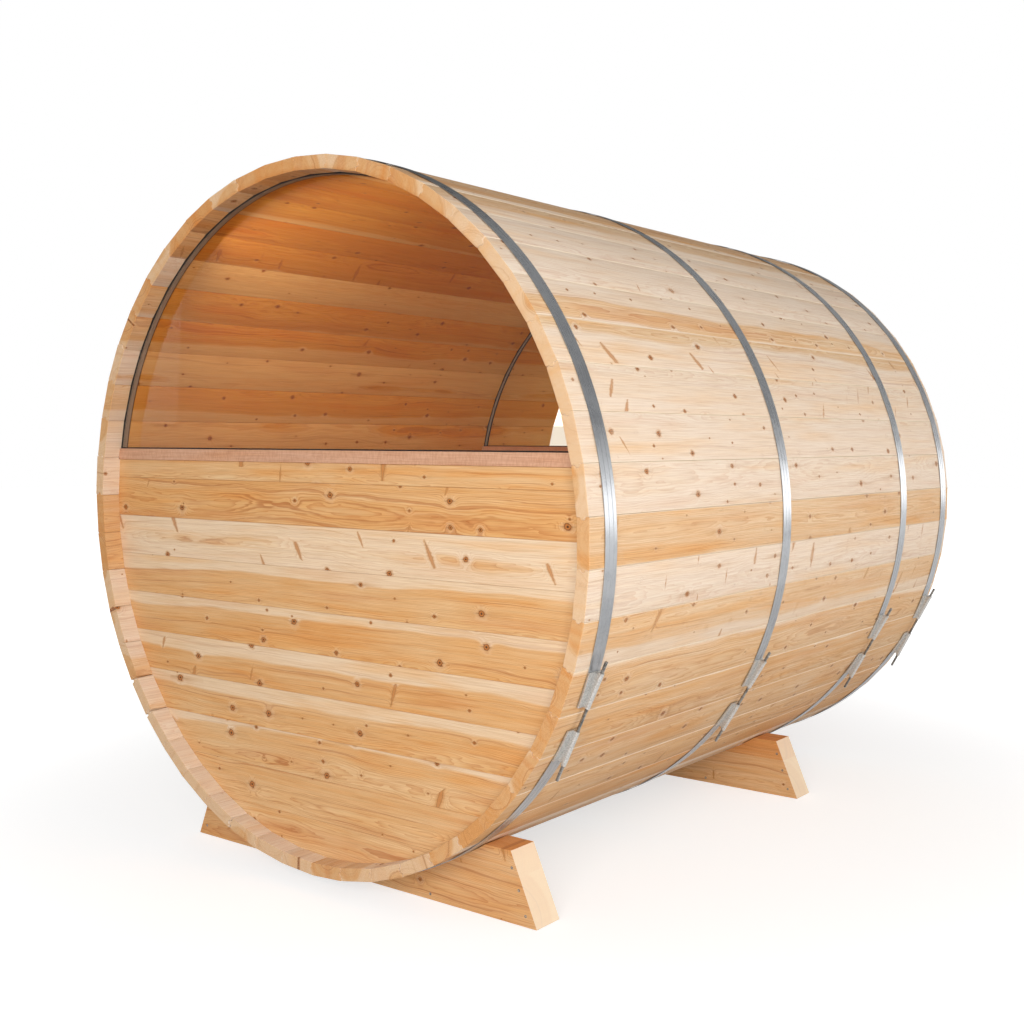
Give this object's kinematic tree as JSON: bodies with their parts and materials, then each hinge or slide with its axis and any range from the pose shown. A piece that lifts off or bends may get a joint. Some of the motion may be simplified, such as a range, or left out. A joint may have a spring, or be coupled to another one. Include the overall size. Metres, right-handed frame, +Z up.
{
  "type": "barrel sauna",
  "caption": "Cedar barrel sauna on two cradles, with steel hoops and a half-moon window above a board wall at each end.",
  "frame": {"origin": "centre of the footprint, on the floor", "axes": "+Z up, barrel axis along Y with the near end towards -Y, hoop tighteners on the +X side"},
  "size_m": [2.1379, 2.413, 2.183],
  "materials": {
    "cedar_staves": "planed, bare",
    "cedar_boards": "planed, bare",
    "planed_sill": "planed, bare",
    "cradle_cedar": "planed, bare",
    "gasket_rubber": "matte",
    "bronze_glass": "bronze tint",
    "hoop_steel": "rolled",
    "zinc_lug": "galvanised",
    "threaded_steel": "zinc plated"
  },
  "bodies": {
    "root": {"right_top_staves": "cedar_staves", "right_shoulder_staves": "cedar_staves", "right_side_staves": "cedar_staves", "right_hip_staves": "cedar_staves", "right_bottom_staves": "cedar_staves", "left_bottom_staves": "cedar_staves", "left_hip_staves": "cedar_staves", "left_side_staves": "cedar_staves", "left_shoulder_staves": "cedar_staves", "left_top_staves": "cedar_staves", "near_wall_boards": "cedar_boards", "near_sill": "planed_sill", "near_gasket": "gasket_rubber", "near_glass": "bronze_glass", "far_wall_boards": "cedar_boards", "far_sill": "planed_sill", "far_gasket": "gasket_rubber", "far_glass": "bronze_glass", "near_hoop": "hoop_steel", "middle_hoop": "hoop_steel", "wall_hoop": "hoop_steel", "porch_hoop": "hoop_steel", "near_lugs": "zinc_lug", "middle_lugs": "zinc_lug", "wall_lugs": "zinc_lug", "porch_lugs": "zinc_lug", "near_rod": "threaded_steel", "middle_rod": "threaded_steel", "wall_rod": "threaded_steel", "porch_rod": "threaded_steel", "near_nuts": "threaded_steel", "middle_nuts": "threaded_steel", "wall_nuts": "threaded_steel", "porch_nuts": "threaded_steel", "near_cradle_beam": "cradle_cedar", "near_cradle_blocks": "cradle_cedar", "far_cradle_beam": "cradle_cedar", "far_cradle_blocks": "cradle_cedar"}
  },
  "joints": []
}
